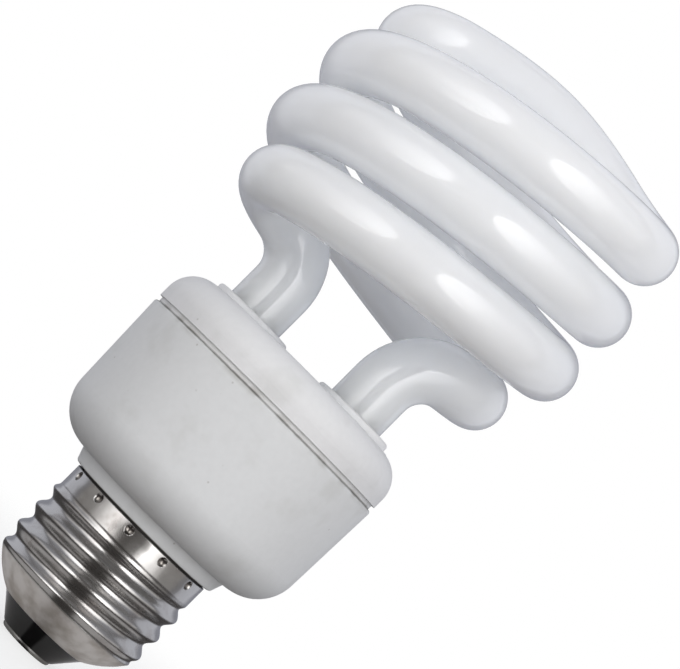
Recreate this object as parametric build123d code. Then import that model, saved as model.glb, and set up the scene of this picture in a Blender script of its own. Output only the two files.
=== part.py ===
from build123d import *

import math
import os

# Spiral energy saving lamp with an Edison screw cap. Sizes are in millimetres.
# The origin is the middle of the centre contact's face. +Z runs up the lamp's axis to the tube.

# Cap
cap_length = 23.45  # contact face to the open edge of the screw shell
thread_crest_d = 26.2
thread_root_d = 24.1
thread_pitch = 3.63
thread_fade = 1.3  # height over which the thread runs out at each end
thread_start = -178.0  # degrees from +X to the crest where the thread begins
thread_steps = 12  # points on one turn of its path
sheet = 0.3  # metal of the shell
skirt_length = 3.4  # plain band above the thread
shoulder_height = 4.3  # lip up to the thread
shoulder_r = 14.0  # bow of the shoulder, nearly a cone
lip_d = 15.3
crimp_count = 12
crimp_r = 0.9  # radius of the punch
crimp_depth = 0.4
crimp_drop = 0.85  # from the open edge down to the marks
crimp_start = -4.0  # degrees from +X to the first mark
contact_d = 8.9
contact_height = 0.65
contact_round = 0.4
stem_d = 2.4  # eyelet under the contact
stem_length = 4.3
cone_tip_d = 9.4
cone_height = 3.35  # black cone that shows between contact and shell
glass_depth = 3.0  # black glass inside the shell

# Ballast housing
edge_gap = 0.35  # open edge of the shell to the neck
edge_relief = 0.25  # the seat of the skirt stops this far below its edge
neck_height = 2.15
neck_bottom_d = 26.7
neck_top_d = 28.2
neck_round = 0.5
spigot_length = 7.0  # part of the neck inside the shell
body_height = 22.1  # underside to rim
body_draft = 2.15  # degrees that the side leans out
rim_d = 43.4
rim_round = 0.4
body_round = 7.0  # underside corner
corner_share = 0.99  # most of the flat underside that the corner may take
wall = 1.8
mouth_wall = 1.2  # thinner wall above the board's ledge
snap_height = 0.9  # bead that holds the cover
snap_depth = 0.35
snap_drop = 1.5  # rim down to the bead

# Cover
cover_inset = 0.05  # side of the cover behind the rim
cover_height = 7.3  # rim to the flat top
cover_round = 4.8
cover_wall = 1.6
groove_height = 0.8  # shadow gap over the rim
groove_depth = 0.5
tongue_length = 3.2
tongue_wall = 1.2
collar_d = 13.4
collar_height = 1.1
collar_round = 0.5
sleeve_length = 3.0  # guide round each tube end, under the top
sleeve_wall = 1.2
cement_wall = 1.4

# Spiral tube
tube_d = 9.6
coil_d = 49.8  # across the middle of the tube
turn_gap = 1.3  # between one turn and the next
coil_turns = 1  # whole turns of each arm, besides its part turn
leg_x = 10.1
leg_y = -2.0
leg_depth = 5.6  # below the cover's top
leg_clear = 5.3  # straight stretch above the collars
leg_bend_r = 8.0
bend_steps = 4  # points along the bend of a leg
crown_bend_r = 8.0  # where the top turn swings in to the bridge
crown_rise = 5.85  # height of the bridge over the top turn
tube_end_round = 3.0

# Board and what is on it. Places are from the lamp's axis.
board_thickness = 1.6
wire_d = 0.6
lead_d = 0.9
stub = 0.9  # wire that stands out of the board
choke_at = (-9.0, 0.0)
core_width = 15.0
core_height = 12.4
core_depth = 5.5
core_yoke = 2.4
core_leg = 4.4  # middle leg
bobbin_wall = 0.6
choke_pin_pitch = 8.4
bulk_at = (3.4, 0.0)
bulk_d = 10.0
bulk_length = 16.0
bulk_pitch = 5.0
bulk_round = 0.8  # edge of the can's closed end
bulk_groove_drop = 2.0  # from the board to the groove rolled round the can
bulk_groove_width = 1.2
bulk_groove_depth = 0.5
ring_at = (6.0, 10.6)
ring_d = 8.4
ring_bore_d = 4.8
ring_height = 3.6
ring_wire = 0.5
ring_windings = 3
ring_arc = 70.0  # degrees that each winding takes
high_at = (12.6, 4.9)
low_at = (12.6, -4.9)
transistor_width = 7.8
transistor_height = 10.8
transistor_depth = 3.2
transistor_hole_d = 3.1
transistor_hole_drop = 2.7  # below the middle of the body
transistor_pitch = 2.3
transistor_lift = 2.4  # body over the board
resonant_at = (4.2, -11.5)
resonant_size = (10.4, 4.4, 9.0)
blocking_at = (-5.6, -11.5)
blocking_size = (7.4, 4.0, 7.0)
film_pitch = 5.0
film_round = 1.2
diode_at = (-4.2, 11.6)
diode_step = (5.4, 3.6)
diode_d = 2.6
diode_length = 4.6
start_at = (-12.8, 8.8)
trigger_at = (6.6, -7.4)
small_d = 1.9
small_length = 3.8
hairpin_span = 2.6
hairpin_lift = 0.6
fuse_at = (-1.2, -7.2)
fuse_d = 3.0
fuse_length = 8.0
fuse_lift = 2.0  # over the black glass
fuse_crank = 3.0  # height of each half of the wire's sideways step
neutral_at = (-1.2, 7.2)
pin_out = 5.4  # from a tube leg out to its pins
pin_step = 6.0
pin_side = 0.8
pin_height = 3.0
pin_tail = 1.0
filament_step = 2.4
wire_bend = 0.5
lead_bend = 1.5

# Clearances
fit = 0.1
glue_gap = 0.05
hole_gap = 0.2
tube_gap = 0.15

# Heights and radii that follow
mean_r = (thread_crest_d + thread_root_d) / 4
throw = (thread_crest_d - thread_root_d) / 4
lip_r = lip_d / 2
lip_z = contact_height + cone_height
thread_z = lip_z + shoulder_height
skirt_z = cap_length - skirt_length
crimp_z = cap_length - crimp_drop
crimp_out = mean_r - crimp_depth + crimp_r
glass_z = lip_z + glass_depth
stem_z = contact_height + stem_length
bore_r = stem_d / 2 + glue_gap
neck_z = cap_length + edge_gap
base_z = neck_z + neck_height
rim_z = base_z + body_height
lean = math.tan(math.radians(body_draft))
base_r = rim_d / 2 - body_height * lean
mouth_r = rim_d / 2 - mouth_wall
seat_r = mean_r - sheet - fit
spigot_r = thread_root_d / 2 - sheet - 2 * fit
neck_bore_r = spigot_r - wall
board_top_z = rim_z - tongue_length
board_z = board_top_z - board_thickness
board_r = mouth_r - hole_gap
snap_z = rim_z - snap_drop
cover_z = rim_z + cover_height
tongue_r = mouth_r - fit
collar_z = cover_z + collar_height
tube_r = tube_d / 2
coil_r = coil_d / 2
pitch = 2 * (tube_d + turn_gap)
leg_end_z = cover_z - leg_depth
bend_z = collar_z + leg_clear
pin_top_z = board_top_z + pin_height
choke_flange_z = -core_yoke - glue_gap
choke_window = (core_width - core_leg) / 2 - core_yoke


def turned(outline):
    """Solid turned about Z from corners given as radius, height and rounding."""
    points = [(radius, height) for radius, height, _ in outline]
    rounds = [rounding for _, _, rounding in outline]
    return revolve(Plane.XZ * make_face(FilletPolyline(*points, radius=rounds, close=True)), Axis.Z)


def both_legs(piece):
    """A piece at the +X tube leg and its twin, turned half round the axis."""
    placed = Pos(leg_x, leg_y) * piece
    return [placed, Rot(0, 0, 180) * placed]


def crimps(mark):
    """Copies of a mark round the open edge of the shell."""
    ring = PolarLocations(crimp_out, crimp_count, crimp_start)
    return [Pos(0, 0, crimp_z) * spot * mark for spot in ring]


def thread_offset(height):
    """How far the shell's section stands off the axis: it circles it once a pitch and fades at both ends."""
    up = height - thread_z
    ramp = min(up / thread_fade, (skirt_z - height) / thread_fade, 1.0)
    out = throw * ramp * ramp * (3 - 2 * ramp)
    turn = math.radians(thread_start) + 2 * math.pi * up / thread_pitch
    return out * math.cos(turn), out * math.sin(turn)


def thread_path():
    """Middle of the shell's section from the shoulder up to the skirt."""
    length = skirt_z - thread_z
    steps = math.ceil(thread_steps * length / thread_pitch)
    heights = [thread_z + length * step / steps for step in range(steps + 1)]
    points = [(*thread_offset(height), height) for height in heights]
    return Spline(*points, tangents=[(0, 0, 1), (0, 0, 1)], tangent_scalars=[1, 1])


def shoulder_arc(depth, top_z):
    """Arc in the lamp's section from the edge of the lip up to a height, below the shoulder's outer face."""
    width = mean_r - lip_r
    chord = math.hypot(width, shoulder_height)
    reach = math.sqrt(shoulder_r**2 - chord**2 / 4)
    middle_r = lip_r + width / 2 - reach * shoulder_height / chord
    middle_z = lip_z + shoulder_height / 2 + reach * width / chord
    radius = shoulder_r - depth
    start = -math.degrees(math.acos((lip_r - middle_r) / radius))
    end = -math.degrees(math.asin((middle_z - top_z) / radius))
    return CenterArc((middle_r, middle_z), radius, start, end - start)


def make_screw_shell():
    """Rolled sheet shell: shoulder in to the lip, thread, and a plain skirt with crimp marks."""
    section = Circle(mean_r) - Circle(mean_r - sheet)
    thread = sweep(Pos(0, 0, thread_z) * section, path=thread_path(), normal=(0, 0, 1))
    skirt = Pos(0, 0, skirt_z) * extrude(section, skirt_length)
    bulge = Sphere(crimp_r + sheet) & Pos(-crimp_out, 0) * Cylinder(mean_r, 2 * crimp_drop)
    skirt += crimps(bulge)
    skirt -= crimps(Sphere(crimp_r))
    outer = shoulder_arc(0, thread_z)
    inner = shoulder_arc(sheet, thread_z)
    profile = make_face([outer, Line(outer @ 1, inner @ 1), inner, Line(inner @ 0, outer @ 0)])
    shoulder = revolve(Plane.XZ * profile, Axis.Z)
    return shoulder + thread + skirt


def make_cap_insulator():
    """Black glass: a cone below the lip, and a plug that fills the shoulder inside the shell."""
    plug = shoulder_arc(sheet + glue_gap, glass_z)
    start = plug @ 0
    below = Polyline(
        plug @ 1,
        (bore_r, glass_z),
        (bore_r, contact_height),
        (cone_tip_d / 2, contact_height),
        (lip_r - glue_gap, lip_z),
        (lip_r - glue_gap, start.Y),
        start,
    )
    return revolve(Plane.XZ * make_face([*below.edges(), plug]), Axis.Z)


def make_centre_contact():
    """Contact plate with its eyelet stem up through the glass."""
    return turned(
        [
            (0, 0, 0),
            (contact_d / 2, 0, contact_round),
            (contact_d / 2, contact_height, 0),
            (stem_d / 2, contact_height, 0),
            (stem_d / 2, stem_z, 0),
            (0, stem_z, 0),
        ]
    )


def make_lower_housing():
    """Moulded case: stepped spigot in the shell, neck collar, drafted body, board ledge and snap groove."""
    underside = base_r - neck_top_d / 2
    corner_reach = math.tan(math.radians(90 - body_draft) / 2)  # flat that the corner takes per radius
    corner = min(body_round, corner_share * underside / corner_reach)
    seat_z = skirt_z + fit
    seat_top_z = cap_length - edge_relief
    ledge_r = rim_d / 2 - wall - (rim_z - board_z) * lean
    case = turned(
        [
            (neck_bore_r, cap_length - spigot_length, 0),
            (spigot_r, cap_length - spigot_length, 0),
            (spigot_r, seat_z, 0),
            (seat_r, seat_z, 0),
            (seat_r, seat_top_z, 0),
            (spigot_r, seat_top_z, 0),
            (spigot_r, neck_z, 0),
            (neck_bottom_d / 2, neck_z, neck_round),
            (neck_top_d / 2, base_z, 0),
            (base_r, base_z, corner),
            (rim_d / 2, rim_z, rim_round),
            (mouth_r, rim_z, 0),
            (mouth_r, snap_z + snap_height / 2, 0),
            (mouth_r + snap_depth, snap_z, 0),
            (mouth_r, snap_z - snap_height / 2, 0),
            (mouth_r, board_z, 0),
            (ledge_r, board_z, 0),
            (base_r - wall, base_z + wall, corner - wall),
            (neck_bore_r, base_z + wall, 0),
        ]
    )
    return case - crimps(Sphere(crimp_r + sheet + fit))


def make_upper_cover():
    """Moulded cover: round shoulder, shadow gap, snap tongue, and a collar and sleeve for each tube leg."""
    cap_r = rim_d / 2 - cover_inset
    shell = turned(
        [
            (tongue_r - tongue_wall, board_top_z, 0),
            (tongue_r, board_top_z, 0),
            (tongue_r, snap_z - snap_height / 2, 0),
            (tongue_r + snap_depth, snap_z, 0),
            (tongue_r, snap_z + snap_height / 2, 0),
            (tongue_r, rim_z, 0),
            (cap_r - groove_depth, rim_z, 0),
            (cap_r - groove_depth, rim_z + groove_height, 0),
            (cap_r, rim_z + groove_height, 0),
            (cap_r, cover_z, cover_round),
            (0, cover_z, 0),
            (0, cover_z - cover_wall, 0),
            (tongue_r - tongue_wall, cover_z - cover_wall, cover_round - cover_wall),
        ]
    )
    seat = extrude(Circle(collar_d / 2), cover_wall + collar_height)
    seat = fillet(seat.edges().group_by(Axis.Z)[-1], collar_round)
    guide_r = tube_r + cement_wall
    guide = extrude(Circle(guide_r + sleeve_wall), cover_wall + sleeve_length)
    pocket = extrude(Circle(guide_r), sleeve_length)
    hole = extrude(Circle(tube_r + tube_gap), cover_wall + sleeve_length + collar_height)
    low_z = cover_z - cover_wall - sleeve_length
    shell += both_legs(Pos(0, 0, cover_z - cover_wall) * seat)
    shell += both_legs(Pos(0, 0, low_z) * guide)
    shell -= both_legs(Pos(0, 0, low_z) * pocket)
    shell -= both_legs(Pos(0, 0, low_z) * hole)
    return shell


def make_tube_cement():
    """Ring of cement in each sleeve, round the tube leg."""
    ring = Circle(tube_r + cement_wall - glue_gap) - Circle(tube_r + glue_gap)
    low_z = cover_z - cover_wall - sleeve_length
    return both_legs(Pos(0, 0, low_z) * extrude(ring, sleeve_length - glue_gap))


def arm_points():
    """Middle of the tube: its climb from one leg's bend round the coil, its crown to the bridge's middle,
    and its heading where the two meet.

    Seen from above the arm is an arc out from the leg, the coil's circle, a tighter arc inwards, and a
    straight bridge. Its height is set along that route: a bend, the coil's slope, then the crown.
    """
    entry_r = (coil_r**2 - leg_x**2 - leg_y**2) / (2 * (coil_r + leg_y))
    entry_end = math.atan2(leg_y + entry_r, leg_x)
    crown_x = math.sqrt((coil_r - crown_bend_r) ** 2 - crown_bend_r**2)
    crown_start = 2 * math.pi * coil_turns + math.atan2(crown_bend_r, -crown_x)
    entry = entry_r * (entry_end + math.pi / 2)
    coil = coil_r * (crown_start - entry_end)
    swing = crown_bend_r * (2 * math.pi * coil_turns + 1.5 * math.pi - crown_start)
    slope = pitch / (2 * math.pi * coil_r)

    def seen_from_above(along):
        if along < entry:
            turn = along / entry_r - math.pi / 2
            return leg_x + entry_r * math.cos(turn), leg_y + entry_r + entry_r * math.sin(turn)
        along -= entry
        if along < coil:
            turn = entry_end + along / coil_r
            return coil_r * math.cos(turn), coil_r * math.sin(turn)
        along -= coil
        if along < swing:
            turn = crown_start + along / crown_bend_r
            return crown_bend_r * math.cos(turn) - crown_x, crown_bend_r + crown_bend_r * math.sin(turn)
        return along - swing - crown_x, 0.0

    climb = []
    bend_turn = math.pi / 2 - math.atan(slope)
    for step in range(bend_steps + 1):
        turn = bend_turn * step / bend_steps
        along = leg_bend_r * (1 - math.cos(turn))
        climb.append((*seen_from_above(along), bend_z + leg_bend_r * math.sin(turn)))
    slope_start = along
    slope_z = climb[-1][2]
    slope_length = entry + coil - slope_start
    slope_steps = math.ceil(slope_length / tube_r)
    for step in range(1, slope_steps + 1):
        gone = slope_length * step / slope_steps
        climb.append((*seen_from_above(slope_start + gone), slope_z + slope * gone))
    crown = [climb[-1]]
    top_z = climb[-1][2]
    crown_length = swing + crown_x
    crown_steps = math.ceil(crown_length / tube_r * 2)
    for step in range(1, crown_steps + 1):
        part = step / crown_steps
        lift = crown_rise * part**2 * (3 - 2 * part) + slope * crown_length * part * (1 - part) ** 2
        crown.append((*seen_from_above(entry + coil + crown_length * part), top_z + lift))
    heading = Vector(-math.sin(crown_start), math.cos(crown_start), slope).normalized()
    return climb, crown, heading


def make_spiral_tube():
    """One sealed glass tube: leg, arm, bridge, and the same half turned round the axis back down."""
    climb, crown, heading = arm_points()
    climb_route = Spline(*climb, tangents=[(0, 0, 1), heading], tangent_scalars=[1, 1])
    crown_route = Spline(*crown, tangents=[heading, (1, 0, 0)], tangent_scalars=[1, 1])
    arm = sweep(Pos(*climb[0]) * Circle(tube_r), path=climb_route, is_frenet=True)
    arm += sweep(Plane(crown[0], z_dir=heading) * Circle(tube_r), path=crown_route, is_frenet=True)
    leg = fillet(extrude(Circle(tube_r), bend_z - leg_end_z).edges().group_by(Axis.Z)[0], tube_end_round)
    arm += Pos(leg_x, leg_y, leg_end_z) * leg
    return arm + Rot(0, 0, 180) * arm


def row(at, count, step, turn=0):
    """Places of a row of wires under the board, centred on a point."""
    offsets = [(place - (count - 1) / 2) * step for place in range(count)]
    return [Pos(*at) * Rot(0, 0, turn) * Pos(offset, 0) for offset in offsets]


choke_pins = [
    *row((choke_at[0] - choke_pin_pitch / 2, choke_at[1]), 2, core_depth, 90),
    *row((choke_at[0] + choke_pin_pitch / 2, choke_at[1]), 2, core_depth, 90),
]
bulk_wires = row(bulk_at, 2, bulk_pitch, 90)
high_wires = row(high_at, 3, transistor_pitch, 90)
low_wires = row(low_at, 3, transistor_pitch, 90)
resonant_wires = row(resonant_at, 2, film_pitch)
blocking_wires = row(blocking_at, 2, film_pitch)
diode_places = [Pos(*diode_at) * spot for spot in GridLocations(*diode_step, 2, 2)]
start_places = [Pos(*start_at) * Rot(0, 0, 90), Pos(start_at[0], -start_at[1]) * Rot(0, 0, -90)]
trigger_places = [Pos(*trigger_at)]
hairpin_places = [*diode_places, *start_places, *trigger_places]
pin_places = [
    half * Pos(leg_x + pin_out, leg_y + side * pin_step / 2)
    for half in (Rot(0, 0, 0), Rot(0, 0, 180))
    for side in (1, -1)
]


def wires(places, reach):
    """Wires from a component's body, up through the board and a little past it."""
    length = reach + board_thickness + stub
    return [spot * Pos(0, 0, board_z - reach) * extrude(Circle(wire_d / 2), length) for spot in places]


def make_circuit_board():
    """Round board on the housing's ledge, drilled for each wire and pin."""
    board = Pos(0, 0, board_z) * extrude(Circle(board_r), board_thickness)
    drill = Pos(0, 0, board_z) * extrude(Circle(wire_d / 2 + hole_gap), board_thickness)
    lead_drill = Pos(0, 0, board_z) * extrude(Circle(lead_d / 2 + hole_gap), board_thickness)
    pin_drill = Pos(0, 0, board_z) * extrude(Circle(pin_side / math.sqrt(2) + fit), board_thickness)
    returns = [spot * Pos(-hairpin_span, 0) for spot in hairpin_places]
    small = [*choke_pins, *bulk_wires, *high_wires, *low_wires, *resonant_wires, *blocking_wires]
    board -= [spot * drill for spot in [*small, *hairpin_places, *returns]]
    board -= [Pos(*at) * lead_drill for at in (fuse_at, neutral_at)]
    return board - [spot * pin_drill for spot in pin_places]


def hang(at, piece):
    """A component under the board: its own zero height is the board's underside."""
    return Pos(*at, board_z) * piece


def make_choke_core():
    """Ferrite frame with a middle leg, in two halves that meet at the middle of the legs."""
    window = Rectangle(choke_window, core_height - 2 * core_yoke)
    frame = Rectangle(core_width, core_height)
    for side in (1, -1):
        frame -= Pos(side * (core_leg + choke_window) / 2, 0) * window
    block = extrude(Plane.YZ * frame, core_depth / 2, both=True)
    halves = split(block, Plane.XY, keep=Keep.BOTH)
    return [hang(choke_at, Pos(0, 0, -core_height / 2) * half) for half in halves.solids()]


def choke_section(grow):
    """Rounded rectangle round the choke's middle leg."""
    size = 2 * (glue_gap + grow)
    return RectangleRounded(core_depth + size, core_leg + size, glue_gap + grow)


def make_choke_bobbin():
    """Moulded former on the middle leg: a tube, two flanges and the pins down to the board."""
    length = core_height - 2 * core_yoke - 2 * glue_gap
    spread = 2 * (choke_window - glue_gap)
    bore = Rectangle(core_depth + 2 * glue_gap, core_leg + 2 * glue_gap)
    flange = extrude(Rectangle(core_depth + spread, core_leg + spread) - bore, -bobbin_wall)
    tube = extrude(choke_section(bobbin_wall) - bore, -length)
    former = tube + flange + Pos(0, 0, bobbin_wall - length) * flange
    placed = hang(choke_at, Pos(0, 0, choke_flange_z) * former)
    return placed + wires(choke_pins, -choke_flange_z)


def make_choke_winding():
    """Copper winding between the former's flanges."""
    length = core_height - 2 * core_yoke - 2 * bobbin_wall - 4 * glue_gap
    coil = choke_section(choke_window - 3 * glue_gap) - choke_section(bobbin_wall + glue_gap)
    top = choke_flange_z - bobbin_wall - glue_gap
    return hang(choke_at, Pos(0, 0, top) * extrude(coil, -length))


def make_bulk_capacitor():
    """Round electrolytic can with its rolled neck, on two wires."""
    radius = bulk_d / 2
    can = turned(
        [
            (0, 0, 0),
            (radius, 0, 0),
            (radius, -bulk_groove_drop + bulk_groove_width / 2, 0),
            (radius - bulk_groove_depth, -bulk_groove_drop, 0),
            (radius, -bulk_groove_drop - bulk_groove_width / 2, 0),
            (radius, -bulk_length, bulk_round),
            (0, -bulk_length, 0),
        ]
    )
    return hang(bulk_at, can) + wires(bulk_wires, 0)


def ring_section(grow):
    """Half section of the drive transformer's ring, grown all round."""
    middle = (ring_d + ring_bore_d) / 4
    width = (ring_d - ring_bore_d) / 2 + 2 * grow
    return Plane.XZ * Pos(middle, -ring_height / 2 - ring_wire) * Rectangle(width, ring_height + 2 * grow)


def make_ring_core():
    """Ferrite ring of the drive transformer, lying under the board."""
    return hang(ring_at, revolve(ring_section(-glue_gap), Axis.Z))


def make_ring_windings():
    """Windings spaced round the ring."""
    band = ring_section(ring_wire) - ring_section(0)
    winding = revolve(band, Axis.Z, revolution_arc=ring_arc)
    return [hang(ring_at, spot * winding) for spot in PolarLocations(0, ring_windings)]


def make_transistor(at, places):
    """Flat power transistor with its mounting hole, standing off the board on three wires."""
    face = Rectangle(transistor_width, transistor_height)
    face -= Pos(0, -transistor_hole_drop) * Circle(transistor_hole_d / 2)
    body = extrude(Plane.YZ * face, transistor_depth / 2, both=True)
    centre = -transistor_lift - transistor_height / 2
    return hang(at, Pos(0, 0, centre) * body) + wires(places, transistor_lift)


def make_film_capacitor(at, size, places):
    """Dipped film capacitor: a rounded block on two wires."""
    block = Pos(0, 0, -size[2] / 2) * Box(*size)
    block = fillet(block.edges(), film_round)
    return hang(at, block) + wires(places, 0)


def make_hairpins(places, body_d, length):
    """Axial parts stood on end: one wire goes straight up, the other bends back beside the body."""
    far = -hairpin_lift - length
    up = board_thickness + stub
    loop_z = far - hairpin_lift - wire_bend
    loop = FilletPolyline(
        (0, 0, far),
        (0, 0, loop_z),
        (-hairpin_span, 0, loop_z),
        (-hairpin_span, 0, up),
        radius=wire_bend,
    )
    section = Pos(0, 0, far) * Circle(wire_d / 2)
    piece = Pos(0, 0, far) * extrude(Circle(body_d / 2), length)
    piece += sweep(section, path=loop)
    piece += Pos(0, 0, -hairpin_lift) * extrude(Circle(wire_d / 2), up + hairpin_lift)
    return [spot * Pos(0, 0, board_z) * piece for spot in places]


def make_fusible_resistor():
    """Resistor on the axis in the neck: one wire to the contact's stem, one cranked up to the board."""
    low = glass_z + fuse_lift
    high = low + fuse_length
    route = FilletPolyline(
        (0, 0, high),
        (0, 0, high + fuse_crank),
        (*fuse_at, high + 2 * fuse_crank),
        (*fuse_at, board_top_z + stub),
        radius=lead_bend,
    )
    piece = Pos(0, 0, low) * extrude(Circle(fuse_d / 2), fuse_length)
    piece += sweep(Pos(0, 0, high) * Circle(lead_d / 2), path=route)
    return piece + Pos(0, 0, stem_z) * extrude(Circle(lead_d / 2), low - stem_z)


def make_neutral_lead():
    """Wire from the board, down past the spigot and out to the shell."""
    turn_z = cap_length - spigot_length - lead_bend
    reaches = []
    for rise in (-lead_d / 2, 0, lead_d / 2):
        shell_x, shell_y = thread_offset(turn_z + rise)
        aside = abs(neutral_at[0] - shell_x) + lead_d / 2
        reaches.append(shell_y + math.sqrt((mean_r - sheet - fit) ** 2 - aside**2))
    route = FilletPolyline(
        (*neutral_at, board_top_z + stub),
        (*neutral_at, turn_z),
        (neutral_at[0], min(reaches), turn_z),
        radius=lead_bend,
    )
    section = Pos(*neutral_at, board_top_z + stub) * Circle(lead_d / 2)
    return sweep(section, path=route)


def make_wrap_pins():
    """Square pins through the board for the tube's wires."""
    low_z = board_z - pin_tail
    pin = extrude(Rectangle(pin_side, pin_side), pin_top_z - low_z)
    return [spot * Pos(0, 0, low_z) * pin for spot in pin_places]


def make_filament_leads():
    """Wires from each sealed tube end across to the tops of its pins."""
    half_z = (leg_end_z + pin_top_z) / 2
    leads = []
    for side in (1, -1):
        out_y = side * filament_step / 2
        pin_y = side * pin_step / 2
        route = FilletPolyline(
            (0, out_y, leg_end_z),
            (0, out_y, half_z),
            (pin_out, pin_y, half_z),
            (pin_out, pin_y, pin_top_z),
            radius=wire_bend,
        )
        lead = sweep(Pos(0, out_y, leg_end_z) * Circle(wire_d / 2), path=route)
        leads += both_legs(lead)
    return leads


pieces = {
    "screw_shell": make_screw_shell(),
    "cap_insulator": make_cap_insulator(),
    "centre_contact": make_centre_contact(),
    "lower_housing": make_lower_housing(),
    "upper_cover": make_upper_cover(),
    "tube_cement": make_tube_cement(),
    "spiral_tube": make_spiral_tube(),
    "circuit_board": make_circuit_board(),
    "choke_core": make_choke_core(),
    "choke_bobbin": make_choke_bobbin(),
    "choke_winding": make_choke_winding(),
    "bulk_capacitor": make_bulk_capacitor(),
    "ring_core": make_ring_core(),
    "ring_windings": make_ring_windings(),
    "transistor_high": make_transistor(high_at, high_wires),
    "transistor_low": make_transistor(low_at, low_wires),
    "resonant_capacitor": make_film_capacitor(resonant_at, resonant_size, resonant_wires),
    "blocking_capacitor": make_film_capacitor(blocking_at, blocking_size, blocking_wires),
    "rectifier_diodes": make_hairpins(diode_places, diode_d, diode_length),
    "start_resistors": make_hairpins(start_places, small_d, small_length),
    "trigger_diode": make_hairpins(trigger_places, small_d, small_length),
    "fusible_resistor": make_fusible_resistor(),
    "neutral_lead": make_neutral_lead(),
    "wrap_pins": make_wrap_pins(),
    "filament_leads": make_filament_leads(),
}

os.makedirs("parts", exist_ok=True)
for name, piece in pieces.items():
    solids = Compound(piece).solids() if isinstance(piece, list) else piece.solids()
    export_step(Compound(solids) if len(solids) > 1 else solids[0], f"parts/{name}.step")
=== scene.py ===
"""Looks of a spiral energy saving lamp: opal glass tube, moulded ballast housing and screw cap.

Every piece is in metres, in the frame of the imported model. Sizes in the classes are in millimetres.
"""

import logging
import math
from dataclasses import dataclass
from enum import Enum
from typing import Any

import bpy
from mathutils import Matrix, Vector


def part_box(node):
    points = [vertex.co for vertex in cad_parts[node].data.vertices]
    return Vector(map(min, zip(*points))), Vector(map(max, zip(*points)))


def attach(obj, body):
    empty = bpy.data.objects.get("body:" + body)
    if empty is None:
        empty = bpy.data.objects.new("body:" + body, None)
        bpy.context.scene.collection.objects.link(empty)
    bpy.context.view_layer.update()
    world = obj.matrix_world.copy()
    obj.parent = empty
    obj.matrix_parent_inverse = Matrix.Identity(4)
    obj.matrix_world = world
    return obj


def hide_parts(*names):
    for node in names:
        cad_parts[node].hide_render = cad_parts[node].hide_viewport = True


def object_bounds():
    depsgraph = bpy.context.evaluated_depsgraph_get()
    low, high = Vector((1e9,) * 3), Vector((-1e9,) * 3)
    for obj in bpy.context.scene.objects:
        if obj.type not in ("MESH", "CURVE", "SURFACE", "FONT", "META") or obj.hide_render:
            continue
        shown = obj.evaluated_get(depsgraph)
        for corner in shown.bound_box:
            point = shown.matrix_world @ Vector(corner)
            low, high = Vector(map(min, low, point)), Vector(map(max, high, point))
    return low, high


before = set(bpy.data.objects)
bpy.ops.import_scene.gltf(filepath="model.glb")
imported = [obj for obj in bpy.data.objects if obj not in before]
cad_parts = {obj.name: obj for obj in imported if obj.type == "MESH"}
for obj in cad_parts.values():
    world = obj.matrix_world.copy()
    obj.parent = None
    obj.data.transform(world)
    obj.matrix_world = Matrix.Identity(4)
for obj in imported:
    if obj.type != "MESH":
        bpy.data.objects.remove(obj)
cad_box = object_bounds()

MM = 0.001  # metres in a millimetre
log = logging.getLogger("energy_saving_lamp")


class Node(Enum):
    """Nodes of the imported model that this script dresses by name."""

    SHELL = "screw_shell"
    INSULATOR = "cap_insulator"
    CONTACT = "centre_contact"
    HOUSING = "lower_housing"
    COVER = "upper_cover"
    TUBE = "spiral_tube"


class Slot(Enum):
    """Material slots of the record, which nothing in this script reads."""

    OPAL_GLASS = "opal_glass"


def top_mm(node: Node) -> float:
    """Height of a node's highest point in millimetres."""
    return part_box(node.value)[1].z / MM


def linear(colour: str) -> tuple[float, float, float, float]:
    """Turn an sRGB hex colour into linear values.

    Args:
        colour: Six hex digits after a hash sign.

    Returns:
        Linear red, green and blue, and an alpha of one.
    """
    parts = [int(colour[place:place + 2], 16) / 255 for place in (1, 3, 5)]
    red, green, blue = (
        part / 12.92 if part <= 0.04045 else ((part + 0.055) / 1.055) ** 2.4 for part in parts
    )
    return red, green, blue, 1.0


def add_node(
    tree: bpy.types.NodeTree,
    kind: str,
    sockets: dict[str | int, Any] | None = None,
    **settings: Any,
) -> bpy.types.Node:
    """Add a node with its settings, values and links.

    Args:
        tree: Node tree that gets the node.
        kind: Blender's name of the node's class.
        sockets: Input name or index to a value, or to an output socket that is linked to it.
        settings: Properties of the node itself.

    Returns:
        The new node.
    """
    node = tree.nodes.new(kind)
    for name, value in settings.items():
        setattr(node, name, value)
    for key, value in (sockets or {}).items():
        if isinstance(value, bpy.types.NodeSocket):
            tree.links.new(value, node.inputs[key])
        else:
            node.inputs[key].default_value = value
    return node


def reckon(
    tree: bpy.types.NodeTree,
    operation: str,
    *values: float | bpy.types.NodeSocket,
    clamp: bool = False,
) -> bpy.types.NodeSocket:
    """Add a sum to a node tree.

    Args:
        tree: Node tree that gets the sum.
        operation: Blender's name of the sum.
        values: Numbers or output sockets that it takes, in order.
        clamp: Whether the result is kept between zero and one.

    Returns:
        The result.
    """
    sockets = dict(enumerate(values))
    return add_node(tree, "ShaderNodeMath", sockets, operation=operation, use_clamp=clamp).outputs[0]


def height_of(tree: bpy.types.NodeTree, place: bpy.types.NodeSocket) -> bpy.types.NodeSocket:
    """Height of a place on the lamp.

    Args:
        tree: Node tree of the material.
        place: Object coordinates.

    Returns:
        The height in metres.
    """
    return add_node(tree, "ShaderNodeSeparateXYZ", {0: place}).outputs["Z"]


def per_metre(size_mm: float) -> float:
    """Texture scale at which one feature of a noise is about that many millimetres."""
    return 1 / (size_mm * MM)


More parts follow.
